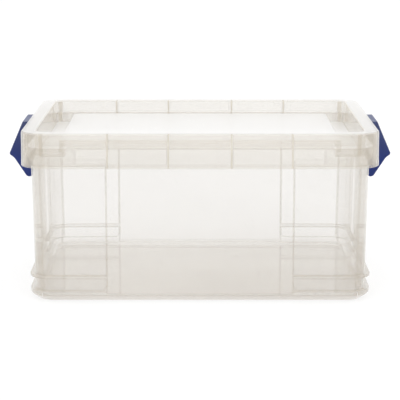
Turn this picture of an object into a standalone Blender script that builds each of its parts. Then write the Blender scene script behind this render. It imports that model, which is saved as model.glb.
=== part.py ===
"""Low latching storage box: a moulded tub, a lift-off lid and a swinging handle at each end.

Units are metres. +X runs along the box, +Y across it, +Z up. The origin is on the floor, under
the middle of the tub. Heights are measured from the floor.
"""

import math

import bmesh
import bpy
from mathutils import Matrix, Vector

# Tub, measured outside at its rim
TUB_LENGTH = 0.3780
TUB_WIDTH = 0.2820
TUB_HEIGHT = 0.1695
TUB_CORNER_RADIUS = 0.0250
TUB_DRAFT = math.radians(1.0)
WALL = 0.0022

# Corners of the tub stand back from the flat panels in the middle of each wall
CORNER_INSET = 0.0054
PANEL_HALF_LENGTH = 0.1014
PANEL_HALF_WIDTH = 0.0500
PANEL_STEP_RUN = 0.0010

# Foot, floor and the two ledges that go round each corner
FOOT_INSET = 0.0096
FOOT_RING = 0.0030
FLOOR_UNDERSIDE = 0.0044
FLOOR_TOP = 0.0066
FLOOR_FILLET = 0.0060
BAND_BOTTOM = 0.0088
BAND_TOP = 0.0124
LEDGE_BOTTOM = 0.0257
LEDGE_TOP = 0.0286

# Flange, corner collars and ribs under the lid's skirt
FLANGE_BOTTOM = 0.1502
FLANGE_TOP = 0.1522
FLANGE_OUT = 0.0014
SHOULDER_RISE = 0.0045
COLLAR_EDGE = 0.1340
COLLAR_OUT = 0.0012
COLLAR_TOP = 0.1672
RIB_PLACE = 0.0350
RIB_WIDTH = 0.0024

# Lid
LID_LENGTH = 0.3866
LID_WIDTH = 0.2900
LID_TOP = 0.1863
LID_CORNER_RADIUS = 0.0290
LID_WALL = 0.0020
SKIRT_BOTTOM = 0.1484
SKIRT_FLARE = 0.0004
RIM_EDGE = 0.0012
RIM_WIDTH = 0.0160
RIM_TO_SEAT = 0.0130
SEAT_WIDTH = 0.0022
END_SEAT_WIDTH = 0.0002
RIM_TO_CHANNEL = 0.0173
RIM_TO_TROUGH = 0.0260
TROUGH_EDGE = 0.1480
TROUGH_STEP_RUN = 0.0015
CHANNEL_INSET = 0.0392
PLATEAU_CORNER_RADIUS = 0.0050
LID_SIDE_LEAN = 0.0006
REST_GAP = 0.0003

# Gussets under the lid's rim, given along each wall
GUSSET_THICKNESS = 0.0018
GUSSETS_FRONT = (-0.0990, -0.0338, 0.0338, 0.0990)
GUSSETS_REAR = (-0.1030, -0.0390, 0.0390, 0.1030)
GUSSETS_END = (-0.0700, 0.0700)

# Handles and their pivots
HANDLE_HALF_WIDTH = 0.0320
HANDLE_TOP_HALF_WIDTH = 0.0290
HANDLE_TAPER_Z = 0.1560
HANDLE_WALL = 0.0028
PIVOT_X = 0.1945
PIVOT_Z = 0.1250
PIVOT_RADIUS = 0.0025
PIVOT_CLEARANCE = 0.0003
WEB_END_RADIUS = 0.0050
HOOK_INNER_X = 0.1945
HOOK_TOP_X = 0.2013
HOOK_TOP_Z = 0.1826
LIP_X = 0.2165
LIP_Z = 0.1470
LIP_BOTTOM_X = 0.2108
LIP_BOTTOM_Z = 0.1411
LUG_RADIUS = 0.0046
LUG_THICKNESS = 0.0034
LUG_GAP = 0.0004
LUG_ROOT = 0.0076

ARC_STEPS = 7
ROUND_STEPS = 24
SMOOTH_ANGLE = math.radians(35.0)

CLEAR_PP = {"color": (0.80, 0.77, 0.70, 0.45), "roughness": 0.28}
BLUE_PP = {"color": (0.020, 0.035, 0.160, 1.0), "roughness": 0.35}


def clear_scene():
    """Remove every object, so that a second run starts from nothing."""
    for old in list(bpy.data.objects):
        bpy.data.objects.remove(old, do_unlink=True)


def plastic(name, finish):
    """Moulded polypropylene with the given colour and roughness."""
    material = bpy.data.materials.new(name)
    material.use_nodes = True
    shader = material.node_tree.nodes["Principled BSDF"]
    shader.inputs["Base Color"].default_value = finish["color"]
    shader.inputs["Alpha"].default_value = finish["color"][3]
    shader.inputs["Roughness"].default_value = finish["roughness"]
    shader.inputs["Metallic"].default_value = 0.0
    return material


def new_object(name, bm, material=None):
    """Turn a bmesh into a named object with outward normals."""
    bmesh.ops.remove_doubles(bm, verts=bm.verts, dist=1e-6)
    bmesh.ops.recalc_face_normals(bm, faces=bm.faces)
    mesh = bpy.data.meshes.new(name)
    bm.to_mesh(mesh)
    bm.free()
    mark_smooth(mesh)
    obj = bpy.data.objects.new(name, mesh)
    bpy.context.scene.collection.objects.link(obj)
    if material:
        mesh.materials.append(material)
    return obj


def mark_smooth(mesh):
    """Shade the round parts smooth and keep the real edges sharp."""
    mesh.shade_smooth()
    mesh.set_sharp_from_angle(angle=SMOOTH_ANGLE)


def join_solids(target, helpers):
    """Fuse helper solids into the target with exact Boolean unions, then remove the helpers."""
    for helper in helpers:
        union = target.modifiers.new("join_" + helper.name, "BOOLEAN")
        union.operation = "UNION"
        union.solver = "EXACT"
        union.use_self = True
        union.object = helper
    graph = bpy.context.evaluated_depsgraph_get()
    joined = bpy.data.meshes.new_from_object(target.evaluated_get(graph))
    target.modifiers.clear()
    target.data = joined
    joined.name = target.name
    mark_smooth(joined)
    for helper in helpers:
        bpy.data.objects.remove(helper, do_unlink=True)


def corner_arc(centre_x, centre_y, radius):
    """Points of the first quadrant's corner, from the end wall round to the long wall."""
    points = []
    for i in range(ARC_STEPS + 1):
        angle = 0.5 * math.pi * i / ARC_STEPS
        points.append((centre_x + radius * math.cos(angle), centre_y + radius * math.sin(angle)))
    return points


def mirror_quadrant(quadrant):
    """Full anticlockwise outline from the points of its first quadrant."""
    second = [(-x, y) for x, y in reversed(quadrant)]
    third = [(-x, -y) for x, y in quadrant]
    fourth = [(x, -y) for x, y in reversed(quadrant)]
    return quadrant + second + third + fourth


def lid_section(z, grow, end_grow, end_z, step_x):
    """Rounded rectangle grown from the lid's edge, at height z and, past step_x, at end_z."""
    half_x = LID_LENGTH / 2 + end_grow
    half_y = LID_WIDTH / 2 + grow
    radius = max(LID_CORNER_RADIUS + grow, PLATEAU_CORNER_RADIUS)
    quadrant = corner_arc(half_x - radius, half_y - radius, radius)
    quadrant += [(step_x, half_y), (step_x - TROUGH_STEP_RUN, half_y)]
    return [(x, y, end_z if abs(x) >= step_x else z) for x, y in mirror_quadrant(quadrant)]


def tub_section(z, grow, inset, panel_edge):
    """Section of the tub at height z: flat wall panels, and corners set in by inset."""
    lean = math.tan(TUB_DRAFT) * (TUB_HEIGHT - z)
    half_x = TUB_LENGTH / 2 - lean + grow
    half_y = TUB_WIDTH / 2 - lean + grow
    radius = TUB_CORNER_RADIUS + grow
    quadrant = [(half_x, PANEL_HALF_WIDTH), (half_x - inset, PANEL_HALF_WIDTH + PANEL_STEP_RUN)]
    quadrant += corner_arc(half_x - radius, half_y - radius, radius - inset)
    quadrant += [(panel_edge + PANEL_STEP_RUN, half_y - inset), (panel_edge, half_y)]
    return [(x, y, z) for x, y in mirror_quadrant(quadrant)]


def loft(bm, sections):
    """Skin a closed solid over sections with equal numbers of points, capped at both ends."""
    loops = [[bm.verts.new(point) for point in section] for section in sections]
    count = len(loops[0])
    for lower, upper in zip(loops, loops[1:]):
        for i in range(count):
            j = (i + 1) % count
            bm.faces.new((lower[i], lower[j], upper[j], upper[i]))
    bm.faces.new(loops[0])
    bm.faces.new(loops[-1])


def add_block(bm, low, high):
    """Add one rectangular block between two corners."""
    corners = []
    for z in (low[2], high[2]):
        corners += [(low[0], low[1], z), (high[0], low[1], z), (high[0], high[1], z), (low[0], high[1], z)]
    v = [bm.verts.new(corner) for corner in corners]
    for face in ((0, 3, 2, 1), (4, 5, 6, 7), (0, 1, 5, 4), (1, 2, 6, 5), (2, 3, 7, 6), (3, 0, 4, 7)):
        bm.faces.new([v[i] for i in face])


def extrude_profile(bm, profile, y_low, y_high):
    """Extrude an (x, z) outline across the box, between two Y places."""
    near = [bm.verts.new((x, y_low, z)) for x, z in profile]
    far = [bm.verts.new((x, y_high, z)) for x, z in profile]
    count = len(profile)
    for i in range(count):
        j = (i + 1) % count
        bm.faces.new((near[i], near[j], far[j], far[i]))
    bm.faces.new(near)
    bm.faces.new(far)


def tub_shell():
    """Walls, floor, foot ring, corner ledges, rim flange and corner collars, as one thin shell."""
    foot_inner = -FOOT_INSET - FOOT_RING
    panel = PANEL_HALF_LENGTH
    rows = [
        (FLOOR_UNDERSIDE, foot_inner, 0.0, panel),
        (0.0, foot_inner, 0.0, panel),
        (0.0, -FOOT_INSET, 0.0, panel),
        (BAND_BOTTOM, 0.0, 0.0, panel),
        (BAND_TOP, 0.0, 0.0, panel),
        (BAND_TOP, 0.0, CORNER_INSET, panel),
        (LEDGE_BOTTOM, 0.0, CORNER_INSET, panel),
        (LEDGE_BOTTOM, 0.0, 0.0, panel),
        (LEDGE_TOP, 0.0, 0.0, panel),
        (LEDGE_TOP, 0.0, CORNER_INSET, panel),
        (FLANGE_BOTTOM, 0.0, CORNER_INSET, panel),
        (FLANGE_BOTTOM, FLANGE_OUT, 0.0, panel),
        (FLANGE_TOP, FLANGE_OUT, 0.0, panel),
        (FLANGE_TOP, 0.0, -COLLAR_OUT, COLLAR_EDGE),
        (COLLAR_TOP, 0.0, -COLLAR_OUT, COLLAR_EDGE),
        (COLLAR_TOP + COLLAR_OUT / 2, 0.0, 0.0, COLLAR_EDGE),
        (TUB_HEIGHT, 0.0, 0.0, COLLAR_EDGE),
        (TUB_HEIGHT, -WALL, 0.0, panel),
        (FLANGE_TOP + SHOULDER_RISE, -WALL, 0.0, panel),
        (FLANGE_TOP, -WALL, CORNER_INSET, panel),
        (FLOOR_TOP + FLOOR_FILLET, -WALL, CORNER_INSET, panel),
        (FLOOR_TOP, -WALL - FLOOR_FILLET, CORNER_INSET, panel),
    ]
    bm = bmesh.new()
    loft(bm, [tub_section(*row) for row in rows])
    return bm


def rim_ribs():
    """Short upright ribs between the tub's flange and its rim, on both long walls."""
    bm = bmesh.new()
    inner = TUB_WIDTH / 2 - WALL / 2
    outer = TUB_WIDTH / 2 + FLANGE_OUT / 2
    for side in (-1, 1):
        y_low, y_high = sorted((side * inner, side * outer))
        for x in (-RIB_PLACE, RIB_PLACE):
            low = (x - RIB_WIDTH / 2, y_low, FLANGE_TOP - FLANGE_OUT / 2)
            add_block(bm, low, (x + RIB_WIDTH / 2, y_high, TUB_HEIGHT - FLANGE_OUT))
    return bm


def lug_outline(angle):
    """Distance from the pivot to the edge of a lug that is round outside and square at the wall."""
    up = LUG_RADIUS / max(abs(math.sin(angle)), 1e-9)
    if math.cos(angle) >= 0.0:
        return LUG_RADIUS
    return min(up, LUG_ROOT / abs(math.cos(angle)))


def pivot_lugs():
    """Pairs of pierced lugs on the end walls, which carry the handles' stub pins."""
    bm = bmesh.new()
    hole = PIVOT_RADIUS + PIVOT_CLEARANCE
    outer_y = HANDLE_HALF_WIDTH - HANDLE_WALL - LUG_GAP
    for end in (-1, 1):
        for side in (-1, 1):
            loops = []
            for y in (side * outer_y, side * (outer_y - LUG_THICKNESS)):
                for pierced in (True, False):
                    loop = []
                    for i in range(ROUND_STEPS):
                        angle = 2 * math.pi * i / ROUND_STEPS
                        reach = hole if pierced else lug_outline(angle)
                        x = end * (PIVOT_X + reach * math.cos(angle))
                        loop.append(bm.verts.new((x, y, PIVOT_Z + reach * math.sin(angle))))
                    loops.append(loop)
            hole_near, edge_near, hole_far, edge_far = loops
            ring = (hole_near, edge_near, edge_far, hole_far)
            for first, second in zip(ring, ring[1:] + ring[:1]):
                for i in range(ROUND_STEPS):
                    j = (i + 1) % ROUND_STEPS
                    bm.faces.new((first[i], first[j], second[j], second[i]))
    return bm


def make_tub(material):
    """The tub with its rim ribs and pivot lugs."""
    tub = new_object("tub", tub_shell(), material)
    join_solids(tub, [new_object("rim_ribs", rim_ribs()), new_object("pivot_lugs", pivot_lugs())])
    return tub


def lid_shell():
    """Skirt, hollow rim, channel, end troughs and raised middle, as one bent sheet."""
    seat_z = LID_TOP - RIM_TO_SEAT
    channel_z = LID_TOP - RIM_TO_CHANNEL
    trough_z = LID_TOP - RIM_TO_TROUGH
    seat = RIM_WIDTH + LID_SIDE_LEAN
    channel = seat + SEAT_WIDTH + LID_SIDE_LEAN
    trough = seat + END_SEAT_WIDTH + LID_SIDE_LEAN
    plateau = CHANNEL_INSET + LID_SIDE_LEAN
    # Each row is: height, growth along the long sides, growth at the ends, height past the step.
    # The sheet starts under the raised middle, goes out round the skirt and back to its top.
    lower = [
        (seat_z, -plateau, -plateau, seat_z),
        (channel_z, -CHANNEL_INSET, -CHANNEL_INSET, trough_z),
        (channel_z, -channel, -trough, trough_z),
        (seat_z, -seat - SEAT_WIDTH, -seat - END_SEAT_WIDTH, seat_z),
        (seat_z, -seat, -seat, seat_z),
        (LID_TOP, -RIM_WIDTH, -RIM_WIDTH, LID_TOP),
        (LID_TOP, 0.0, 0.0, LID_TOP),
    ]
    upper = [
        (SKIRT_BOTTOM, SKIRT_FLARE, SKIRT_FLARE, SKIRT_BOTTOM),
        (LID_TOP - RIM_EDGE, 0.0, 0.0, LID_TOP - RIM_EDGE),
        (LID_TOP, -RIM_EDGE, -RIM_EDGE, LID_TOP),
    ]
    upper += list(reversed(lower[:-1]))
    # Under the sheet, walls that face inwards move in by its thickness, the others move out.
    sides = (-1, -1, 1, 1, 1, 1, -1)
    under = []
    for (z, grow, end_grow, end_z), side in zip(lower, sides):
        shift = side * LID_WALL
        under.append((z - LID_WALL, grow + shift, end_grow + shift, end_z - LID_WALL))
    under.append((SKIRT_BOTTOM, SKIRT_FLARE - LID_WALL, SKIRT_FLARE - LID_WALL, SKIRT_BOTTOM))
    bm = bmesh.new()
    sections = [lid_section(*row, TROUGH_EDGE - LID_WALL) for row in under]
    sections += [lid_section(*row, TROUGH_EDGE) for row in upper]
    loft(bm, sections)
    return bm


def rim_gussets():
    """Plates inside the lid's hollow rim, which rest on the tub's rim."""
    bm = bmesh.new()
    half = GUSSET_THICKNESS / 2
    outer = LID_WALL / 2
    inner = RIM_WIDTH - LID_WALL / 2
    low_z = TUB_HEIGHT + REST_GAP
    high_z = LID_TOP - LID_WALL / 2
    foot_z = LID_TOP - RIM_TO_SEAT - LID_WALL
    for side, places in ((-1, GUSSETS_FRONT), (1, GUSSETS_REAR)):
        y_low, y_high = sorted((side * (LID_WIDTH / 2 - outer), side * (LID_WIDTH / 2 - inner)))
        for x in places:
            add_block(bm, (x - half, y_low, max(low_z, foot_z - 0.0012)), (x + half, y_high, high_z))
    for side in (-1, 1):
        x_low, x_high = sorted((side * (LID_LENGTH / 2 - outer), side * (LID_LENGTH / 2 - inner)))
        for y in GUSSETS_END:
            add_block(bm, (x_low, y - half, max(low_z, foot_z - 0.0012)), (x_high, y + half, high_z))
    return bm


def make_lid(material):
    """The lid with the gussets inside its rim."""
    lid = new_object("lid", lid_shell(), material)
    join_solids(lid, [new_object("rim_gussets", rim_gussets())])
    return lid


def handle_section():
    """Closed (x, z) outline of the handle's bent plate: hook, sloping face and finger lip."""
    slope_x = LIP_X - HOOK_TOP_X
    slope_z = HOOK_TOP_Z - LIP_Z
    length = math.hypot(slope_x, slope_z)
    inward_x = HANDLE_WALL * slope_z / length
    inward_z = HANDLE_WALL * slope_x / length
    return [
        (HOOK_INNER_X, HOOK_TOP_Z),
        (HOOK_TOP_X, HOOK_TOP_Z),
        (LIP_X, LIP_Z),
        (LIP_X - 0.0010, LIP_Z - 0.0022),
        (LIP_X - 0.0030, LIP_Z - 0.0034),
        (LIP_BOTTOM_X, LIP_BOTTOM_Z),
        (LIP_BOTTOM_X - 0.0016, LIP_BOTTOM_Z + 0.0016),
        (LIP_X - inward_x - 0.0006, LIP_Z - inward_z + 0.0010),
        (HOOK_TOP_X - inward_x, HOOK_TOP_Z - HANDLE_WALL),
        (HOOK_INNER_X, HOOK_TOP_Z - HANDLE_WALL),
    ]


def web_section():
    """Closed (x, z) outline of a handle's side web, round where it turns on the pivot."""
    points = [
        (HOOK_INNER_X, HOOK_TOP_Z - HANDLE_WALL / 2),
        (HOOK_TOP_X - HANDLE_WALL / 2, HOOK_TOP_Z - HANDLE_WALL / 2),
        (LIP_X - HANDLE_WALL / 2, LIP_Z),
        (LIP_BOTTOM_X, LIP_BOTTOM_Z),
    ]
    start = math.radians(-45.0)
    for i in range(ROUND_STEPS // 2 + 1):
        angle = start - math.radians(145.0) * i / (ROUND_STEPS // 2)
        x = PIVOT_X + WEB_END_RADIUS * math.cos(angle)
        points.append((x, PIVOT_Z + WEB_END_RADIUS * math.sin(angle)))
    points.append((HOOK_INNER_X, SKIRT_BOTTOM - 0.0040))
    return points


def handle_plate(end):
    """The handle's bent plate, between its two webs' outer faces."""
    bm = bmesh.new()
    profile = [(end * x, z) for x, z in handle_section()]
    extrude_profile(bm, profile, -HANDLE_HALF_WIDTH, HANDLE_HALF_WIDTH)
    return bm


def handle_webs(end):
    """Both side webs of one handle, each with its inward stub pin."""
    bm = bmesh.new()
    profile = [(end * x, z) for x, z in web_section()]
    inner_y = HANDLE_HALF_WIDTH - HANDLE_WALL
    for side in (-1, 1):
        extrude_profile(bm, profile, side * inner_y, side * HANDLE_HALF_WIDTH)
    return bm


def pivot_pins(end):
    """Stub pins on the inner faces of the webs, a running fit in the tub's lugs."""
    bm = bmesh.new()
    root_y = HANDLE_HALF_WIDTH - HANDLE_WALL / 2
    tip_y = HANDLE_HALF_WIDTH - HANDLE_WALL - LUG_GAP - LUG_THICKNESS
    profile = []
    for i in range(ROUND_STEPS):
        angle = 2 * math.pi * i / ROUND_STEPS
        x = end * PIVOT_X + PIVOT_RADIUS * math.cos(angle)
        profile.append((x, PIVOT_Z + PIVOT_RADIUS * math.sin(angle)))
    for side in (-1, 1):
        extrude_profile(bm, profile, side * tip_y, side * root_y)
    return bm


def taper_top(mesh):
    """Cut the handle round at the taper's foot, and narrow it from there to its top."""
    bm = bmesh.new()
    bm.from_mesh(mesh)
    everything = bm.verts[:] + bm.edges[:] + bm.faces[:]
    foot = (0.0, 0.0, HANDLE_TAPER_Z)
    bmesh.ops.bisect_plane(bm, geom=everything, dist=1e-6, plane_co=foot, plane_no=(0.0, 0.0, 1.0))
    for vert in bm.verts:
        rise = max(0.0, vert.co.z - HANDLE_TAPER_Z) / (HOOK_TOP_Z - HANDLE_TAPER_Z)
        vert.co.y *= 1.0 - rise * (1.0 - HANDLE_TOP_HALF_WIDTH / HANDLE_HALF_WIDTH)
    bm.to_mesh(mesh)
    bm.free()
    mark_smooth(mesh)


def make_handle(name, end, material):
    """One swinging handle, with its origin on its pivot axis."""
    handle = new_object(name, handle_plate(end), material)
    webs = new_object(name + "_webs", handle_webs(end))
    pins = new_object(name + "_pins", pivot_pins(end))
    join_solids(handle, [webs, pins])
    taper_top(handle.data)
    pivot = Vector((end * PIVOT_X, 0.0, PIVOT_Z))
    handle.data.transform(Matrix.Translation(-pivot))
    handle.location = pivot
    return handle


clear_scene()
clear_pp = plastic("clear_pp", CLEAR_PP)
blue_pp = plastic("blue_pp", BLUE_PP)
make_tub(clear_pp)
make_lid(clear_pp)
make_handle("left_handle", -1, blue_pp)
make_handle("right_handle", 1, blue_pp)
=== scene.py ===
import math

import bmesh
import bpy
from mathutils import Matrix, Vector


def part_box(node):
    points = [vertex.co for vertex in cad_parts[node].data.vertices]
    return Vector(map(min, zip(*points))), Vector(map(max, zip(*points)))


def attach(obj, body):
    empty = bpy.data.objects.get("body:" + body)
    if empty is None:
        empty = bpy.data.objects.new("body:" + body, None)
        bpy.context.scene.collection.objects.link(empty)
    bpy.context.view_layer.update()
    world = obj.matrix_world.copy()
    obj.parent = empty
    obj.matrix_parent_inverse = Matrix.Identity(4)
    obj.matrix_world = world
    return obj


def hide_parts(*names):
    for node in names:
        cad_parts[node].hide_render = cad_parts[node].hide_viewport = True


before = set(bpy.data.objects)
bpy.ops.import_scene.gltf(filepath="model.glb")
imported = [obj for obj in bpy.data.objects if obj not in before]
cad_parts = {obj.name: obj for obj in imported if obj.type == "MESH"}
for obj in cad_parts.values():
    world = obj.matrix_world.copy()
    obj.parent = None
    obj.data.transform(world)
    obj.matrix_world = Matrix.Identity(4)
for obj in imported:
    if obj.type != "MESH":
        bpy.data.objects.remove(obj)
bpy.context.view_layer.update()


# ---------------------------------------------------------------------------------------------
# The tub: one injection moulding of milky clear polypropylene, 2.2 mm thick. It is lofted here from
# the floor's underside out over the foot ring, up the outside with its corner ledges and flange,
# over the rim and down inside.

PP_IOR = 1.49


def new_group(name, inputs, outputs):
    """Empty shader group with named float or colour sockets; returns it with its two end nodes."""
    group = bpy.data.node_groups.new(name, "ShaderNodeTree")
    for socket, value in inputs.items():
        made = group.interface.new_socket(socket, in_out="INPUT", socket_type="NodeSocketFloat")
        made.default_value = value
    for socket, kind in outputs.items():
        group.interface.new_socket(socket, in_out="OUTPUT", socket_type=kind)
    return group, group.nodes.new("NodeGroupInput"), group.nodes.new("NodeGroupOutput")


def feed(tree, value, socket):
    """Link a socket to another one, or set it to a number or colour."""
    if isinstance(value, bpy.types.NodeSocket):
        tree.links.new(value, socket)
    else:
        socket.default_value = value


def noise(tree, scale, detail, place, roughness=0.5):
    """Noise texture on an object-space position."""
    node = tree.nodes.new("ShaderNodeTexNoise")
    feed(tree, scale, node.inputs["Scale"])
    node.inputs["Detail"].default_value = detail
    node.inputs["Roughness"].default_value = roughness
    tree.links.new(place, node.inputs["Vector"])
    return node.outputs["Fac"]


def spread(tree, value, low, high, to_low=0.0, to_high=1.0):
    """Stretch a value from one range to another, clamped."""
    node = tree.nodes.new("ShaderNodeMapRange")
    for socket, number in zip(("From Min", "From Max", "To Min", "To Max"), (low, high, to_low, to_high)):
        node.inputs[socket].default_value = number
    tree.links.new(value, node.inputs["Value"])
    return node.outputs["Result"]


def maths(tree, operation, first, second=None, third=None):
    """One Math node; each operand is a socket or a number."""
    node = tree.nodes.new("ShaderNodeMath")
    node.operation = operation
    for slot, operand in enumerate((first, second, third)):
        if operand is not None:
            feed(tree, operand, node.inputs[slot])
    return node.outputs[0]


def blend_colours(tree, share, first, second):
    """Mix two colours, given as tuples or sockets, by a share."""
    node = tree.nodes.new("ShaderNodeMix")
    node.data_type = "RGBA"
    tree.links.new(share, node.inputs["Factor"])
    for socket, colour in (("A", first), ("B", second)):
        target = [s for s in node.inputs if s.name == socket and s.type == "RGBA"][0]
        feed(tree, colour, target)
    return [s for s in node.outputs if s.type == "RGBA"][0]


def moulded_surface_group():
    """Marks that any injection-moulded skin has: flow haze, orange peel, scuffs and settled dust."""
    inputs = {"Haze Scale": 9.0, "Peel Scale": 900.0, "Scuff Amount": 0.35, "Dust Amount": 0.3}
    outputs = {"Haze": "NodeSocketFloat", "Scuffs": "NodeSocketFloat", "Dust": "NodeSocketFloat",
               "Height": "NodeSocketFloat"}
    tree, given, put_out = new_group("moulded_surface", inputs, outputs)
    place = tree.nodes.new("ShaderNodeTexCoord").outputs["Object"]

    # Flow haze runs in long soft streaks.
    stretch = tree.nodes.new("ShaderNodeMapping")
    stretch.inputs["Scale"].default_value = (0.45, 1.0, 1.6)
    tree.links.new(place, stretch.inputs["Vector"])
    flow = noise(tree, given.outputs["Haze Scale"], 3.0, stretch.outputs["Vector"])
    haze = spread(tree, flow, 0.32, 0.68)

    # Scuffs are short, thin and crossed: two sheets of narrow bands, broken up by a coarse mask.
    scuffs = None
    for turn, scale in ((0.35, 62.0), (1.25, 48.0)):
        turned = tree.nodes.new("ShaderNodeMapping")
        turned.inputs["Rotation"].default_value = (turn, 0.4 * turn, turn)
        turned.inputs["Scale"].default_value = (1.0, 0.06, 1.0)
        tree.links.new(place, turned.inputs["Vector"])
        band = noise(tree, scale * 6.0, 2.0, turned.outputs["Vector"], 0.6)
        patch = noise(tree, scale * 0.4, 1.0, place)
        mark = maths(tree, "MULTIPLY", spread(tree, band, 0.66, 0.72), spread(tree, patch, 0.52, 0.66))
        scuffs = mark if scuffs is None else maths(tree, "MAXIMUM", scuffs, mark)
    scuffs = maths(tree, "MULTIPLY", scuffs, given.outputs["Scuff Amount"])

    # Dust settles on faces that look up.
    facing = tree.nodes.new("ShaderNodeSeparateXYZ")
    tree.links.new(tree.nodes.new("ShaderNodeNewGeometry").outputs["Normal"], facing.inputs["Vector"])
    flecks = spread(tree, noise(tree, 700.0, 2.0, place, 0.7), 0.62, 0.78)
    dust = maths(tree, "MULTIPLY", flecks, spread(tree, facing.outputs["Z"], 0.5, 1.0))
    dust = maths(tree, "MULTIPLY", dust, given.outputs["Dust Amount"])

    peel = noise(tree, given.outputs["Peel Scale"], 1.0, place)
    height = maths(tree, "MULTIPLY_ADD", peel, 0.35, maths(tree, "MULTIPLY", scuffs, -0.5))
    height = maths(tree, "ADD", height, maths(tree, "MULTIPLY", flow, 0.15))
    for socket, value in (("Haze", haze), ("Scuffs", scuffs), ("Dust", dust), ("Height", height)):
        tree.links.new(value, put_out.inputs[socket])
    return tree


moulded_surface = moulded_surface_group()


def plastic_shader(name, roughness, values, bump):
    """New material with a Principled shader and the moulded-surface marks wired to its bump."""
    material = bpy.data.materials.new(name)
    material.use_nodes = True
    tree = material.node_tree
    shader = tree.nodes["Principled BSDF"]
    shader.inputs["IOR"].default_value = PP_IOR
    marks = tree.nodes.new("ShaderNodeGroup")
    marks.node_tree = moulded_surface
    for socket, value in values.items():
        marks.inputs[socket].default_value = value
    rough = maths(tree, "MULTIPLY_ADD", marks.outputs["Haze"], roughness[1], roughness[0])
    rough = maths(tree, "MULTIPLY_ADD", marks.outputs["Scuffs"], 0.35, rough)
    rough = maths(tree, "ADD", rough, maths(tree, "MULTIPLY", marks.outputs["Dust"], 0.3))
    tree.links.new(rough, shader.inputs["Roughness"])
    relief = tree.nodes.new("ShaderNodeBump")
    relief.inputs["Strength"].default_value = bump
    relief.inputs["Distance"].default_value = 0.0002
    tree.links.new(marks.outputs["Height"], relief.inputs["Height"])
    tree.links.new(relief.outputs["Normal"], shader.inputs["Normal"])
    return material, tree, shader, marks


HAZE_SHADE = 0.93
DUST_ON_CLEAR = (0.93, 0.92, 0.90, 1.0)
HAZE_HIDES = 0.15
SCUFFS_HIDE = 0.25
SLANT_HIDES = 0.6
LOST_EDGE_ON = 0.85
LOST_POWER = 12.0
MIRROR_GAIN = 0.95
MIRROR_POWER = 5.0
MIRROR_LIMIT = 0.38
HALF_SPAN_Y = 0.14
# Painted shade: the low part of the walls is made denser, most of it at the front, for the shadow under the
# box.
FRONT_SHADE_SHARE = 1.2
BACK_SHADE_SHARE = 0.2
LOW_SHADE_TOP = 0.09
LOW_SHADE_EXTRA = 0.8


def natural_pp(name, density, tint, roughness=(0.05, 0.05)):
    """Milky clear polypropylene. density is how much one skin of a plain wall hides behind it."""
    values = {"Haze Scale": 9.0, "Peel Scale": 700.0, "Scuff Amount": 0.35, "Dust Amount": 0.15}
    material, tree, shader, marks = plastic_shader(name, roughness, values, 0.10)
    shade = tuple(HAZE_SHADE * level for level in tint[:3]) + (1.0,)
    cloudy = blend_colours(tree, marks.outputs["Haze"], tint, shade)
    dusty = blend_colours(tree, marks.outputs["Dust"], cloudy, DUST_ON_CLEAR)
    tree.links.new(dusty, shader.inputs["Base Color"])
    edge_on = tree.nodes.new("ShaderNodeLayerWeight")
    edge_on.inputs["Blend"].default_value = 0.5
    facing = edge_on.outputs["Facing"]
    # Each face holds an extra thickness, at the tub's foot partly painted shade. On top of it the low part
    # of the walls is made denser, most of it at the front: painted shade, for the shadow under the box.
    extra_and_shade = tree.nodes.new("ShaderNodeAttribute")
    extra_and_shade.attribute_name = "extra_thickness_and_shade"
    place = tree.nodes.new("ShaderNodeSeparateXYZ")
    tree.links.new(tree.nodes.new("ShaderNodeTexCoord").outputs["Object"], place.inputs["Vector"])
    front_shade = spread(tree, place.outputs["Y"], -HALF_SPAN_Y, HALF_SPAN_Y, FRONT_SHADE_SHARE, BACK_SHADE_SHARE)
    # Painted shade, heavier at the front, on the low part of the walls.
    low = spread(tree, place.outputs["Z"], LOW_SHADE_TOP, 0.0, 0.0, LOW_SHADE_EXTRA)
    lower = maths(tree, "MULTIPLY", low, front_shade)
    thickness_and_shade = maths(tree, "ADD", maths(tree, "ADD", extra_and_shade.outputs["Fac"], 1.0), lower)
    hidden = maths(tree, "MULTIPLY_ADD", marks.outputs["Haze"], HAZE_HIDES * density, density)
    hidden = maths(tree, "ADD", hidden, maths(tree, "MULTIPLY", marks.outputs["Scuffs"], SCUFFS_HIDE))
    # Light that crosses the sheet at a slant has further to go, and edge-on it is lost in the sheet.
    hidden = maths(tree, "MULTIPLY", hidden, maths(tree, "MULTIPLY_ADD", facing, SLANT_HIDES, 1.0))
    lost = maths(tree, "MULTIPLY", maths(tree, "POWER", facing, LOST_POWER), LOST_EDGE_ON)
    clear = maths(tree, "POWER", maths(tree, "SUBTRACT", 1.0, hidden), thickness_and_shade)
    clear = maths(tree, "MULTIPLY", clear, maths(tree, "SUBTRACT", 1.0, lost))
    tree.links.new(maths(tree, "SUBTRACT", 1.0, clear), shader.inputs["Alpha"])
    # At a slant the skin turns into a mirror, as any clear sheet does.
    gloss = tree.nodes.new("ShaderNodeBsdfAnisotropic")
    gloss.inputs["Color"].default_value = (1.0, 1.0, 1.0, 1.0)
    for socket in ("Roughness", "Normal"):
        tree.links.new(shader.inputs[socket].links[0].from_socket, gloss.inputs[socket])
    skin = tree.nodes.new("ShaderNodeMixShader")
    mirrored = maths(tree, "MULTIPLY", maths(tree, "POWER", facing, MIRROR_POWER), MIRROR_GAIN)
    tree.links.new(maths(tree, "MINIMUM", mirrored, MIRROR_LIMIT), skin.inputs["Fac"])
    tree.links.new(shader.outputs["BSDF"], skin.inputs[1])
    tree.links.new(gloss.outputs["BSDF"], skin.inputs[2])
    tree.links.new(skin.outputs["Shader"], tree.nodes["Material Output"].inputs["Surface"])
    return material


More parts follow.
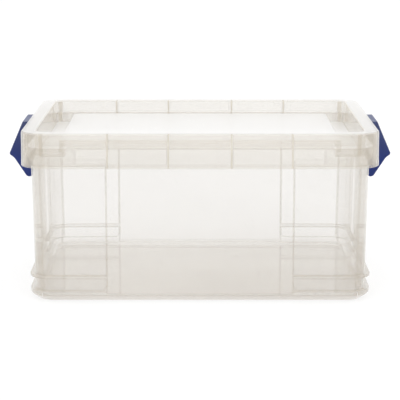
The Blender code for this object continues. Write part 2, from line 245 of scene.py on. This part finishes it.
TUB_HALF_LENGTH = 0.1890
TUB_HALF_WIDTH = 0.1410
TUB_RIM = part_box("tub")[1].z
TUB_CORNER = 0.0250
TUB_DRAFT = math.tan(math.radians(1.0))
TUB_WALL = 0.0022
PANEL_EDGE_X = 0.1014
PANEL_EDGE_Y = 0.0500
PANEL_STEP = 0.0014
CORNER_SET_BACK = 0.0054
STEP_POINTS = 6
CORNER_POINTS = 14


def corner_arc(centre_x, centre_y, radius, count):
    """Points of the first quadrant's corner, from the end wall round to the long wall."""
    turns = [0.5 * math.pi * i / count for i in range(count + 1)]
    return [(centre_x + radius * math.cos(a), centre_y + radius * math.sin(a)) for a in turns]


def mirror_quadrant(quadrant):
    """Full anticlockwise outline from the points of its first quadrant."""
    second = [(-x, y) for x, y in reversed(quadrant)]
    third = [(-x, -y) for x, y in quadrant]
    fourth = [(x, -y) for x, y in reversed(quadrant)]
    return quadrant + second + third + fourth


def step_curve(share):
    """Rounded step from 0 to 1."""
    return 0.5 - 0.5 * math.cos(math.pi * share)


def tub_section(z, grow, set_back, panel_edge):
    """Section of the tub at height z, with flat middle panels and corners set back from them."""
    lean = TUB_DRAFT * (TUB_RIM - z)
    half_x = TUB_HALF_LENGTH - lean + grow
    half_y = TUB_HALF_WIDTH - lean + grow
    radius = TUB_CORNER + grow
    quadrant = [(half_x, PANEL_EDGE_Y - PANEL_STEP)]
    for i in range(STEP_POINTS):
        share = i / STEP_POINTS
        quadrant.append((half_x - set_back * step_curve(share), PANEL_EDGE_Y + PANEL_STEP * share))
    quadrant += corner_arc(half_x - radius, half_y - radius, radius - set_back, CORNER_POINTS)
    for i in range(STEP_POINTS, 0, -1):
        share = (i - 1) / STEP_POINTS
        quadrant.append((panel_edge + PANEL_STEP * share, half_y - set_back * step_curve(share)))
    quadrant.append((panel_edge - PANEL_STEP, half_y))
    return [(x, y, z) for x, y in mirror_quadrant(quadrant)]


FILLET_STEPS = 3


def round_edges(chain, radii):
    """Replace each inner corner of a chain of points by a short curve of FILLET_STEPS pieces."""
    chain = [Vector(point) for point in chain]
    rounded = [chain[0]]
    for before, corner, after, radius in zip(chain, chain[1:], chain[2:], radii[1:]):
        start = corner + (before - corner).normalized() * min(radius, 0.45 * (before - corner).length)
        end = corner + (after - corner).normalized() * min(radius, 0.45 * (after - corner).length)
        for i in range(FILLET_STEPS + 1):
            t = i / FILLET_STEPS
            rounded.append(start * (1 - t) ** 2 + corner * 2 * t * (1 - t) + end * t ** 2)
    rounded.append(chain[-1])
    return rounded


def repeat_inner(values):
    """Repeat the inner values of a list once for each point that round_edges makes of a corner."""
    inner = [value for value in values[1:-1] for _ in range(FILLET_STEPS + 1)]
    return [values[0]] + inner + [values[-1]]


def loft(sections):
    """Closed solid skinned over sections with equal numbers of points, capped at both ends."""
    bm = bmesh.new()
    loops = [[bm.verts.new(point) for point in section] for section in sections]
    count = len(loops[0])
    for lower, upper in zip(loops, loops[1:]):
        for i in range(count):
            j = (i + 1) % count
            bm.faces.new((lower[i], lower[j], upper[j], upper[i]))
    bm.faces.new(loops[0])
    bm.faces.new(loops[-1])
    return bm


def add_block(bm, low, high):
    """Add one rectangular block between two corners."""
    low, high = zip(*[sorted(pair) for pair in zip(low, high)])
    v = []
    for z in (low[2], high[2]):
        for x, y in ((low[0], low[1]), (high[0], low[1]), (high[0], high[1]), (low[0], high[1])):
            v.append(bm.verts.new((x, y, z)))
    for face in ((0, 3, 2, 1), (4, 5, 6, 7), (0, 1, 5, 4), (1, 2, 6, 5), (2, 3, 7, 6), (3, 0, 4, 7)):
        bm.faces.new([v[i] for i in face])


def piece_from(name, bm, material=None):
    """Turn a bmesh into an object with outward normals and smooth shading."""
    bmesh.ops.remove_doubles(bm, verts=bm.verts, dist=2e-6)
    bmesh.ops.recalc_face_normals(bm, faces=bm.faces)
    mesh = bpy.data.meshes.new(name)
    bm.to_mesh(mesh)
    bm.free()
    mesh.shade_smooth()
    piece = bpy.data.objects.new(name, mesh)
    bpy.context.scene.collection.objects.link(piece)
    if material:
        mesh.materials.append(material)
    return piece


def combine(piece, *helpers):
    """Join helper solids to a piece and delete the helpers."""
    for helper in helpers:
        change = piece.modifiers.new(helper.name, "BOOLEAN")
        change.operation = "UNION"
        change.solver = "EXACT"
        change.use_self = True
        change.object = helper
    graph = bpy.context.evaluated_depsgraph_get()
    mesh = bpy.data.meshes.new_from_object(piece.evaluated_get(graph))
    piece.modifiers.clear()
    piece.data = mesh
    mesh.name = piece.name
    mesh.shade_smooth()
    for helper in helpers:
        bpy.data.objects.remove(helper, do_unlink=True)


def even_normals(piece):
    """Keep flat faces looking flat and let only the rounded edges turn the light."""
    piece.data.set_sharp_from_angle(angle=math.radians(50.0))
    shading = piece.modifiers.new("even_normals", "WEIGHTED_NORMAL")
    shading.keep_sharp = True
    shading.weight = 100


# Degrees of bend for each millimetre of skin, at which an edge starts and stops getting denser
FLAT_BEND = 9.0
FULL_BEND = 22.0


def mark_thickness(piece, edge_extra, own_extra):
    """Store each face's extra thickness: edge_extra where the skin bends tightly, or its own, which at the
    tub's foot is partly painted shade.
    """
    bm = bmesh.new()
    bm.from_mesh(piece.data)
    values = []
    for face in bm.faces:
        centre = face.calc_center_median()
        bend = 0.0
        for edge in face.edges:
            apart = sum((other.calc_center_median() - centre).length for other in edge.link_faces)
            bend = max(bend, math.degrees(edge.calc_face_angle(0.0)) / max(1000.0 * apart, 0.01))
        share = min(max((bend - FLAT_BEND) / (FULL_BEND - FLAT_BEND), 0.0), 1.0)
        values.append(max(edge_extra * share, own_extra(*centre, face.normal.z)))
    bm.free()
    layer = piece.data.attributes.new("extra_thickness_and_shade", "FLOAT", "FACE")
    layer.data.foreach_set("value", values)


FOOT_INSET = 0.0096
FOOT_RING = 0.0030
FLOOR_UNDERSIDE = 0.0044
FLOOR_TOP = 0.0066
BAND = (0.0088, 0.0124)
LEDGE = (0.0257, 0.0286)
FLANGE = (0.1502, 0.1522)
FLANGE_OUT = 0.0014
SHOULDER = 0.0045
COLLAR_EDGE_X = 0.1340
COLLAR_OUT = 0.0012
COLLAR_TOP = 0.1672
FLOOR_LAP = 0.0060
BAND_SLOPE = 0.0028
RECESS_CURVE = (0.0008, 0.0030, 0.0060)

# Each row is: distance outside the nominal wall, height, set-back of the corners, edge radius,
# and how far the flat panel runs along the long walls.
tub_rows = [
    (-FOOT_INSET - FOOT_RING - FLOOR_LAP, FLOOR_UNDERSIDE, 0.0, 0.0, PANEL_EDGE_X),
    (-FOOT_INSET - FOOT_RING, FLOOR_UNDERSIDE, 0.0, 0.0012, PANEL_EDGE_X),
    (-FOOT_INSET - FOOT_RING, 0.0, 0.0, 0.0005, PANEL_EDGE_X),
    (-FOOT_INSET, 0.0, 0.0, 0.0012, PANEL_EDGE_X),
    (-0.0012, BAND[0] - BAND_SLOPE, 0.0, 0.0030, PANEL_EDGE_X),
    (0.0, BAND[0], 0.0, 0.0010, PANEL_EDGE_X),
    (0.0, BAND[1], 0.0, 0.0005, PANEL_EDGE_X),
    (0.0, BAND[1], CORNER_SET_BACK, 0.0005, PANEL_EDGE_X + RECESS_CURVE[2]),
    (0.0, BAND[1] + RECESS_CURVE[0], CORNER_SET_BACK, 0.0005, PANEL_EDGE_X + RECESS_CURVE[1]),
    (0.0, BAND[1] + RECESS_CURVE[1], CORNER_SET_BACK, 0.0010, PANEL_EDGE_X + RECESS_CURVE[0]),
    (0.0, BAND[1] + RECESS_CURVE[2], CORNER_SET_BACK, 0.0010, PANEL_EDGE_X),
    (0.0, LEDGE[0], CORNER_SET_BACK, 0.0008, PANEL_EDGE_X),
    (0.0, LEDGE[0], 0.0, 0.0005, PANEL_EDGE_X),
    (0.0, LEDGE[1], 0.0, 0.0005, PANEL_EDGE_X),
    (0.0, LEDGE[1], CORNER_SET_BACK, 0.0012, PANEL_EDGE_X),
    (0.0, FLANGE[0], CORNER_SET_BACK, 0.0008, PANEL_EDGE_X),
    (FLANGE_OUT, FLANGE[0], 0.0, 0.0004, PANEL_EDGE_X),
    (FLANGE_OUT, FLANGE[1], 0.0, 0.0004, PANEL_EDGE_X),
    (0.0, FLANGE[1], -COLLAR_OUT, 0.0003, COLLAR_EDGE_X),
    (0.0, COLLAR_TOP, -COLLAR_OUT, 0.0005, COLLAR_EDGE_X),
    (0.0, COLLAR_TOP + COLLAR_OUT / 2, 0.0, 0.0004, COLLAR_EDGE_X),
    (0.0, TUB_RIM, 0.0, 0.0009, COLLAR_EDGE_X),
    (-TUB_WALL, TUB_RIM, 0.0, 0.0009, PANEL_EDGE_X),
    (-TUB_WALL, FLANGE[1] + SHOULDER, 0.0, 0.0020, PANEL_EDGE_X),
    (-TUB_WALL, FLANGE[1], CORNER_SET_BACK, 0.0020, PANEL_EDGE_X),
    (-TUB_WALL, FLOOR_TOP, CORNER_SET_BACK, 0.0070, PANEL_EDGE_X),
    (-TUB_WALL - 0.0120, FLOOR_TOP, CORNER_SET_BACK, 0.0, PANEL_EDGE_X),
]
TUB_TINT = (0.54, 0.475, 0.375, 1.0)
clear_pp = natural_pp("natural_pp_tub", 0.070, TUB_TINT)
chain = round_edges([row[:3] for row in tub_rows], [row[3] for row in tub_rows])
panel_edges = repeat_inner([row[4] for row in tub_rows])
sections = [tub_section(z, grow, set_back, edge) for (grow, z, set_back), edge in zip(chain, panel_edges)]
tub = piece_from("tub_moulding", loft(sections), clear_pp)

# Two short upright ribs stiffen each long wall between the flange and the rim.
RIB_WIDTH = 0.0024
RIB_PLACES = (-0.0350, 0.0350)
RIB_SINK = 0.0007
ribs = bmesh.new()
for side in (-1, 1):
    for x in RIB_PLACES:
        low = (x - RIB_WIDTH / 2, side * (TUB_HALF_WIDTH - TUB_WALL / 2), FLANGE[1] - RIB_SINK)
        high = (x + RIB_WIDTH / 2, side * (TUB_HALF_WIDTH + FLANGE_OUT / 2), TUB_RIM - FLANGE_OUT)
        add_block(ribs, low, high)

# Two pierced lugs on each end wall carry the handle's stub pins.
PIVOT_X = 0.1945
PIVOT_Z = 0.1250
PIN_RADIUS = 0.0025
PIN_CLEARANCE = 0.0003
LUG_RADIUS = 0.0046
LUG_THICKNESS = 0.0034
LUG_OUTER_Y = 0.0288
LUG_ROOT = 0.0076
LUG_BEVEL = 0.0005
TURN_POINTS = 40


def lug_reach(angle):
    """Distance from the pivot to the lug's edge, round outside and square at the wall."""
    if math.cos(angle) >= 0.0:
        return LUG_RADIUS
    return min(LUG_RADIUS / max(abs(math.sin(angle)), 1e-6), LUG_ROOT / abs(math.cos(angle)))


lugs = bmesh.new()
for end in (-1, 1):
    for side in (-1, 1):
        rings = []
        outer, inner = side * LUG_OUTER_Y, side * (LUG_OUTER_Y - LUG_THICKNESS)
        bevel = side * LUG_BEVEL
        for y, pierced, trim in ((outer, 1, 0.0), (outer, 0, LUG_BEVEL), (outer - bevel, 0, 0.0),
                                 (inner + bevel, 0, 0.0), (inner, 0, LUG_BEVEL), (inner, 1, 0.0)):
            ring = []
            for i in range(TURN_POINTS):
                angle = 2 * math.pi * i / TURN_POINTS
                reach = PIN_RADIUS + PIN_CLEARANCE if pierced else lug_reach(angle) - trim
                x = end * (PIVOT_X + reach * math.cos(angle))
                ring.append(lugs.verts.new((x, y, PIVOT_Z + reach * math.sin(angle))))
            rings.append(ring)
        for first, second in zip(rings, rings[1:] + rings[:1]):
            for i in range(TURN_POINTS):
                j = (i + 1) % TURN_POINTS
                lugs.faces.new((first[i], first[j], second[j], second[i]))

combine(tub, piece_from("rim_ribs", ribs), piece_from("pivot_lugs", lugs))


# Extra thickness of single places, in plain walls.
LEVEL = 0.9
TUB_EDGE_EXTRA = 2.2
FOOT_FACE_EXTRA = 0.5
# The foot's sides are made denser partly for their thicker plastic and partly as painted contact shadow
# under the box, most of it at the front.
FOOT_SIDE_EXTRA_AND_SHADE = 1.6
FOOT_FRONT_SHADE = 12.0
LEDGE_EXTRA = 5.0
LEDGE_MARGIN = 0.0010
LEDGE_TILT = 0.3
COLLAR_EXTRA = 1.2
CORNER_STRIP = (0.1708, 0.1736)
CORNER_STRIP_Y = 0.1000
CORNER_STRIP_EXTRA = 2.0
END_EXTRA = 0.6


def tub_extra(x, y, z, upward):
    """Extra thickness of the foot, the ledges, the collars and the corners; at the foot's sides it is partly
    painted contact shadow, heavier at the front.
    """
    if z < BAND[0] - BAND_SLOPE:
        # At the foot's sides part of the extra is painted contact shadow, heavier at the front.
        return FOOT_FACE_EXTRA if abs(upward) > LEVEL else FOOT_SIDE_EXTRA_AND_SHADE - FOOT_FRONT_SHADE * y
    if BAND[1] - LEDGE_MARGIN < z < LEDGE[1] + LEDGE_MARGIN and abs(upward) > LEDGE_TILT:
        return LEDGE_EXTRA
    if FLANGE[1] < z < COLLAR_TOP and abs(x) > COLLAR_EDGE_X + PANEL_STEP / 2:
        return COLLAR_EXTRA
    if CORNER_STRIP[0] < abs(x) < CORNER_STRIP[1] and abs(y) > CORNER_STRIP_Y:
        return CORNER_STRIP_EXTRA
    return END_EXTRA if abs(x) > CORNER_STRIP[1] else 0.0


mark_thickness(tub, TUB_EDGE_EXTRA, tub_extra)

# The floor and the foot get a milkier, denser plastic than the walls: partly the thicker moulded floor,
# partly painted shade for the shadow under the box.
FLOOR_TINT = (0.74, 0.690, 0.630, 1.0)
FLOOR_MARGIN = 0.0010
tub.data.materials.append(natural_pp("milky_and_shaded_pp_floor", 0.160, FLOOR_TINT))
for face in tub.data.polygons:
    level, z = abs(face.normal.z) > LEVEL, face.center.z
    if z < FLOOR_TOP + FLOOR_MARGIN and (level or z < BAND[0] - BAND_SLOPE):
        face.material_index = 1
even_normals(tub)
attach(tub, "tub")
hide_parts("tub")


# ---------------------------------------------------------------------------------------------
# The lid: a second clear moulding, 2 mm thick. Its rim is an inverted U that drops over the tub's
# rim and rests on gussets inside the U; a channel runs round a raised middle that carries the
# foot of a stacked box.

LID_HALF_LENGTH = 0.1933
LID_HALF_WIDTH = 0.1450
LID_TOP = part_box("lid")[1].z
SKIRT_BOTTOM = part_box("lid")[0].z
LID_CORNER = 0.0290
MIDDLE_CORNER = 0.0050
LID_WALL = 0.0020
RIM_WIDTH = 0.0160
SEAT_DROP = 0.0130
SEAT_WIDTH = 0.0022
END_SEAT_WIDTH = 0.0002
CHANNEL_DROP = 0.0173
TROUGH_DROP = 0.0260
TROUGH_EDGE_X = 0.1480
TROUGH_STEP = 0.0015
CHANNEL_INSET = 0.0392
SIDE_LEAN = 0.0006
SKIRT_FLARE = 0.0004
SHEET_LAP = 0.0150
GUSSET = 0.0018
GUSSET_DROP = 0.0012
BACK_GUSSETS = (0.1030, 0.0390)
FRONT_GUSSETS = (0.0990, 0.0338)
END_GUSSETS = (-0.0700, 0.0700)


def lid_section(z, grow, end_grow, end_z, step_x):
    """Rounded rectangle grown from the lid's edge, at height z and, past step_x, at end_z."""
    half_x = LID_HALF_LENGTH + end_grow
    half_y = LID_HALF_WIDTH + grow
    radius = max(LID_CORNER + grow, MIDDLE_CORNER)
    quadrant = corner_arc(half_x - radius, half_y - radius, radius, CORNER_POINTS)
    for i in range(STEP_POINTS + 1):
        quadrant.append((step_x - TROUGH_STEP * i / STEP_POINTS, half_y))
    for x in sorted(BACK_GUSSETS + FRONT_GUSSETS, reverse=True):
        quadrant += [(x + GUSSET / 2, half_y), (x - GUSSET / 2, half_y)]
    section = []
    for x, y in mirror_quadrant(quadrant):
        share = min(max((abs(x) - step_x + TROUGH_STEP) / TROUGH_STEP, 0.0), 1.0)
        section.append((x, y, z + (end_z - z) * step_curve(share)))
    return section


seat = RIM_WIDTH + SIDE_LEAN
channel = seat + SEAT_WIDTH + SIDE_LEAN
trough = seat + END_SEAT_WIDTH + SIDE_LEAN
middle = CHANNEL_INSET + SIDE_LEAN
seat_z = LID_TOP - SEAT_DROP
channel_z = LID_TOP - CHANNEL_DROP
trough_z = LID_TOP - TROUGH_DROP

# Each row is: growth along the long sides, height there, growth at the ends, height there, edge
# radius. The sheet runs from under the middle out to the skirt, and back over the rim to its top.
lap = -middle - SHEET_LAP
flare = SKIRT_FLARE - LID_WALL
under_rows = [
    (lap, seat_z - LID_WALL, lap, seat_z - LID_WALL, 0.0),
    (-middle - LID_WALL, seat_z - LID_WALL, -middle - LID_WALL, seat_z - LID_WALL, 0.0008),
    (-CHANNEL_INSET - LID_WALL, channel_z - LID_WALL, -CHANNEL_INSET - LID_WALL,
     trough_z - LID_WALL, 0.0020),
    (-channel + LID_WALL, channel_z - LID_WALL, -trough + LID_WALL, trough_z - LID_WALL, 0.0020),
    (-seat - SEAT_WIDTH + LID_WALL, seat_z - LID_WALL, -seat - END_SEAT_WIDTH + LID_WALL,
     seat_z - LID_WALL, 0.0006),
    (-seat + LID_WALL, seat_z - LID_WALL, -seat + LID_WALL, seat_z - LID_WALL, 0.0012),
    (-RIM_WIDTH + LID_WALL, LID_TOP - LID_WALL, -RIM_WIDTH + LID_WALL, LID_TOP - LID_WALL, 0.0008),
    (-LID_WALL, LID_TOP - LID_WALL, -LID_WALL, LID_TOP - LID_WALL, 0.0010),
    (flare, SKIRT_BOTTOM, flare, SKIRT_BOTTOM, 0.0005),
]
upper_rows = [
    (SKIRT_FLARE, SKIRT_BOTTOM, SKIRT_FLARE, SKIRT_BOTTOM, 0.0005),
    (0.0, LID_TOP, 0.0, LID_TOP, 0.0022),
    (-RIM_WIDTH, LID_TOP, -RIM_WIDTH, LID_TOP, 0.0022),
    (-seat, seat_z, -seat, seat_z, 0.0005),
    (-seat - SEAT_WIDTH, seat_z, -seat - END_SEAT_WIDTH, seat_z, 0.0006),
    (-channel, channel_z, -trough, trough_z, 0.0012),
    (-CHANNEL_INSET, channel_z, -CHANNEL_INSET, trough_z, 0.0012),
    (-middle, seat_z, -middle, seat_z, 0.0018),
    (lap, seat_z, lap, seat_z, 0.0),
]
lid_rows = under_rows + upper_rows
radii = [row[4] for row in lid_rows]
steps = [TROUGH_EDGE_X - LID_WALL] * len(under_rows) + [TROUGH_EDGE_X] * len(upper_rows)
long_sides = round_edges([row[:2] for row in lid_rows], radii)
ends = round_edges([row[2:4] for row in lid_rows], radii)
sections = []
for (grow, z), (end_grow, end_z), step_x in zip(long_sides, ends, repeat_inner(steps)):
    sections.append(lid_section(z, grow, end_grow, end_z, step_x))
LID_TINT = (0.75, 0.695, 0.600, 1.0)
clear_lid_pp = natural_pp("natural_pp_lid", 0.100, LID_TINT)
lid = piece_from("lid_moulding", loft(sections), clear_lid_pp)

gussets = bmesh.new()
gusset_foot = seat_z - LID_WALL - GUSSET_DROP
gusset_head = LID_TOP - LID_WALL / 2
skirt_side, wall_side = LID_WALL / 2, RIM_WIDTH - LID_WALL / 2
for side, places in ((-1, FRONT_GUSSETS), (1, BACK_GUSSETS)):
    for x in (*places, *[-place for place in places]):
        low = (x - GUSSET / 2, side * (LID_HALF_WIDTH - skirt_side), gusset_foot)
        add_block(gussets, low, (x + GUSSET / 2, side * (LID_HALF_WIDTH - wall_side), gusset_head))
for side in (-1, 1):
    for y in END_GUSSETS:
        low = (side * (LID_HALF_LENGTH - skirt_side), y - GUSSET / 2, gusset_foot)
        add_block(gussets, low, (side * (LID_HALF_LENGTH - wall_side), y + GUSSET / 2, gusset_head))

combine(lid, piece_from("rim_gussets", gussets))


# Extra thickness of single places, in plain walls.
LID_EDGE_EXTRA = 1.0
LID_TILT = 0.5
GUSSET_EXTRA = 8.0
SKIRT_DEPTH = 0.0030
SKIRT_EXTRA = 0.8
SKIRT_FALL = 4.0
SKIRT_CORNER_EXTRA = 1.8
CORNER_BAR = (0.0055, 0.0095)
CORNER_BAR_EXTRA = 4.0
INNER_EXTRA = -0.6


def lid_extra(x, y, z, upward):
    """Extra thickness of the skirt, its corners and the skin over each gusset."""
    if abs(upward) > LID_TILT:
        return 0.0
    past_x = max(abs(x) - LID_HALF_LENGTH + LID_CORNER, 0.0)
    past_y = max(abs(y) - LID_HALF_WIDTH + LID_CORNER, 0.0)
    places = FRONT_GUSSETS if y < 0 else BACK_GUSSETS
    if past_y > LID_CORNER - seat and min(abs(abs(x) - place) for place in places) < GUSSET / 2:
        return GUSSET_EXTRA
    if math.hypot(past_x, past_y) > LID_CORNER - SKIRT_DEPTH:
        return SKIRT_EXTRA - SKIRT_FALL * max(y, 0.0) + SKIRT_CORNER_EXTRA * past_x / LID_CORNER
    return CORNER_BAR_EXTRA if past_y and CORNER_BAR[0] < past_x < CORNER_BAR[1] else INNER_EXTRA


mark_thickness(lid, LID_EDGE_EXTRA, lid_extra)

# The flat tops get a satin finish. Their darker, greyer tint and denser sheet are painted shade on the faces
# that look up, against the overhead light.
SATIN_SHADED_TINT = (0.57, 0.565, 0.555, 1.0)
SATIN_ROUGHNESS = (0.42, 0.10)
lid.data.materials.append(natural_pp("satin_and_shaded_pp_lid", 0.170, SATIN_SHADED_TINT, SATIN_ROUGHNESS))
for face in lid.data.polygons:
    if face.normal.z > LEVEL:
        face.material_index = 1
even_normals(lid)
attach(lid, "lid")
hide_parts("lid")


# ---------------------------------------------------------------------------------------------
# The handles: navy polypropylene, moulded as an open shell with a hook along the top, a sloping
# face, a finger lip and two side webs that end round the stub pins they turn on.

HANDLE_HALF_WIDTH = 0.0320
HANDLE_TOP_HALF_WIDTH = 0.0290
HANDLE_TAPER_Z = 0.1560
HANDLE_WALL = 0.0028
WEB_END_RADIUS = 0.0050
HOOK_INNER_X = 0.1945
HOOK_TOP = (0.2013, 0.1826)
LIP = (0.2165, 0.1470)
LIP_FOOT = (0.2108, 0.1411)
LIP_CURVE = ((0.0010, 0.0022), (0.0030, 0.0034))
LIP_EDGE = 0.0016
LIP_HOLLOW = (0.0006, 0.0010)
WEB_ARC_START = -45.0
WEB_ARC_TURN = -145.0
WEB_ARC_STEPS = 16
WEB_SHOULDER_DROP = 0.0040
NAVY = (0.012, 0.028, 0.165, 1.0)
NAVY_HAZE = (0.016, 0.034, 0.185, 1.0)
NAVY_TOP_LIGHT = (0.055, 0.070, 0.165, 1.0)
NAVY_SCUFFED = (0.10, 0.13, 0.30, 1.0)
DUST_ON_NAVY = (0.45, 0.45, 0.50, 1.0)
TOP_LIGHT_FADE = 0.016


def navy_pp():
    """Solid navy polypropylene with a fine satin skin, and painted light that makes it lighter towards the
    top of the arm.
    """
    values = {"Haze Scale": 30.0, "Peel Scale": 1500.0, "Scuff Amount": 0.6, "Dust Amount": 0.12}
    material, tree, shader, marks = plastic_shader("navy_pp", (0.30, 0.10), values, 0.25)
    shader.inputs["Specular IOR Level"].default_value = 0.25
    body = blend_colours(tree, marks.outputs["Haze"], NAVY, NAVY_HAZE)
    place = tree.nodes.new("ShaderNodeSeparateXYZ")
    tree.links.new(tree.nodes.new("ShaderNodeTexCoord").outputs["Object"], place.inputs["Vector"])
    # Painted light: the colour turns lighter and greyer towards the top of the arm, for the overhead light
    # its upper faces catch.
    top_light = spread(tree, place.outputs["Z"], HANDLE_TAPER_Z - TOP_LIGHT_FADE, HOOK_TOP[1])
    body = blend_colours(tree, top_light, body, NAVY_TOP_LIGHT)
    worn = blend_colours(tree, marks.outputs["Scuffs"], body, NAVY_SCUFFED)
    dusty = blend_colours(tree, marks.outputs["Dust"], worn, DUST_ON_NAVY)
    tree.links.new(dusty, shader.inputs["Base Color"])
    return material


def extrude_profile(profile, y_low, y_high):
    """Closed solid from an (x, z) outline, between two places across the box."""
    bm = bmesh.new()
    near = [bm.verts.new((x, y_low, z)) for x, z in profile]
    far = [bm.verts.new((x, y_high, z)) for x, z in profile]
    count = len(profile)
    for i in range(count):
        j = (i + 1) % count
        bm.faces.new((near[i], near[j], far[j], far[i]))
    bm.faces.new(near)
    bm.faces.new(far)
    return bm


def handle_plate(end):
    """Hook, sloping face and finger lip, as one bent plate."""
    slope_x, slope_z = LIP[0] - HOOK_TOP[0], HOOK_TOP[1] - LIP[1]
    length = math.hypot(slope_x, slope_z)
    inward_x, inward_z = HANDLE_WALL * slope_z / length, HANDLE_WALL * slope_x / length
    profile = [
        (HOOK_INNER_X, HOOK_TOP[1]),
        HOOK_TOP,
        LIP,
        *[(LIP[0] - back, LIP[1] - down) for back, down in LIP_CURVE],
        LIP_FOOT,
        (LIP_FOOT[0] - LIP_EDGE, LIP_FOOT[1] + LIP_EDGE),
        (LIP[0] - inward_x - LIP_HOLLOW[0], LIP[1] - inward_z + LIP_HOLLOW[1]),
        (HOOK_TOP[0] - inward_x, HOOK_TOP[1] - HANDLE_WALL),
        (HOOK_INNER_X, HOOK_TOP[1] - HANDLE_WALL),
    ]
    return extrude_profile([(end * x, z) for x, z in profile], -HANDLE_HALF_WIDTH, HANDLE_HALF_WIDTH)


def handle_web(end, side):
    """Side web, round where it turns on the pivot."""
    profile = [
        (HOOK_INNER_X, HOOK_TOP[1] - HANDLE_WALL / 2),
        (HOOK_TOP[0] - HANDLE_WALL / 2, HOOK_TOP[1] - HANDLE_WALL / 2),
        (LIP[0] - HANDLE_WALL / 2, LIP[1]),
        LIP_FOOT,
    ]
    for i in range(WEB_ARC_STEPS + 1):
        angle = math.radians(WEB_ARC_START + WEB_ARC_TURN * i / WEB_ARC_STEPS)
        out, up = WEB_END_RADIUS * math.cos(angle), WEB_END_RADIUS * math.sin(angle)
        profile.append((PIVOT_X + out, PIVOT_Z + up))
    profile.append((HOOK_INNER_X, SKIRT_BOTTOM - WEB_SHOULDER_DROP))
    inner_y = side * (HANDLE_HALF_WIDTH - HANDLE_WALL)
    return extrude_profile([(end * x, z) for x, z in profile], inner_y, side * HANDLE_HALF_WIDTH)


def handle_pin(end, side):
    """Stub pin on the inner face of a web."""
    turns = [2 * math.pi * i / TURN_POINTS for i in range(TURN_POINTS)]
    profile = [(end * PIVOT_X + PIN_RADIUS * math.cos(a), PIVOT_Z + PIN_RADIUS * math.sin(a)) for a in turns]
    tip = side * (LUG_OUTER_Y - LUG_THICKNESS)
    return extrude_profile(profile, tip, side * (HANDLE_HALF_WIDTH - HANDLE_WALL / 2))


def taper_top(mesh):
    """Cut the handle round at the taper's foot, and narrow it from there to its top."""
    bm = bmesh.new()
    bm.from_mesh(mesh)
    everything = bm.verts[:] + bm.edges[:] + bm.faces[:]
    foot = (0.0, 0.0, HANDLE_TAPER_Z)
    bmesh.ops.bisect_plane(bm, geom=everything, dist=1e-6, plane_co=foot, plane_no=(0.0, 0.0, 1.0))
    for vert in bm.verts:
        rise = max(0.0, vert.co.z - HANDLE_TAPER_Z) / (HOOK_TOP[1] - HANDLE_TAPER_Z)
        vert.co.y *= 1.0 - rise * (1.0 - HANDLE_TOP_HALF_WIDTH / HANDLE_HALF_WIDTH)
    bm.to_mesh(mesh)
    bm.free()


navy = navy_pp()
for end, body in ((-1, "left_handle"), (1, "right_handle")):
    handle = piece_from(body + "_moulding", handle_plate(end), navy)
    helpers = []
    for side in (-1, 1):
        helpers.append(piece_from("web", handle_web(end, side)))
        helpers.append(piece_from("pin", handle_pin(end, side)))
    combine(handle, *helpers)
    taper_top(handle.data)
    edges = handle.modifiers.new("soft_edges", "BEVEL")
    edges.width = 0.0006
    edges.segments = 3
    edges.limit_method = "ANGLE"
    edges.angle_limit = math.radians(35.0)
    even_normals(handle)
    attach(handle, body)
    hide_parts(body)


# ---------------------------------------------------------------------------------------------
# The studio: a pale seamless floor, an even white surround and one large overhead softbox, with
# the camera low in front of the box.

floor_mesh = bmesh.new()
add_block(floor_mesh, (-14.0, -8.0, -0.02), (14.0, 26.0, 0.0))
paper = bpy.data.materials.new("white_paper")
paper.use_nodes = True
paper_look = {"Base Color": (0.30, 0.30, 0.30, 1.0), "Roughness": 0.8,
              "Emission Color": (1.0, 1.0, 1.0, 1.0), "Emission Strength": 0.68}
for socket, value in paper_look.items():
    paper.node_tree.nodes["Principled BSDF"].inputs[socket].default_value = value
studio_floor = piece_from("studio_floor", floor_mesh, paper)

world = bpy.data.worlds.new("studio")
world.use_nodes = True
world.node_tree.nodes["Background"].inputs["Color"].default_value = (1.0, 1.0, 1.0, 1.0)
world.node_tree.nodes["Background"].inputs["Strength"].default_value = 1.0
bpy.context.scene.world = world

lamp = bpy.data.lights.new("overhead", "AREA")
lamp.shape = "SQUARE"
lamp.size = 2.4
lamp.energy = 20.0
light = bpy.data.objects.new("overhead", lamp)
light.location = (0.0, 0.3, 2.2)
aim = Vector((0.0, 0.0, 0.1)) - light.location
light.rotation_euler = aim.to_track_quat("-Z", "Y").to_euler()
bpy.context.scene.collection.objects.link(light)

CAMERA_PITCH = 11.15
camera_data = bpy.data.cameras.new("camera")
camera_data.sensor_width = 36.0
camera_data.lens = 141.8
camera = bpy.data.objects.new("camera", camera_data)
camera.location = (0.0, -1.800, 0.441)
camera.rotation_euler = (math.radians(90.0 - CAMERA_PITCH), 0.0, 0.0)
bpy.context.scene.collection.objects.link(camera)
bpy.context.scene.camera = camera

# Plain display transform, and enough see-through depth for two boxes' worth of clear walls.
bpy.context.scene.view_settings.view_transform = "Standard"
bpy.context.scene.cycles.transparent_max_bounces = 48
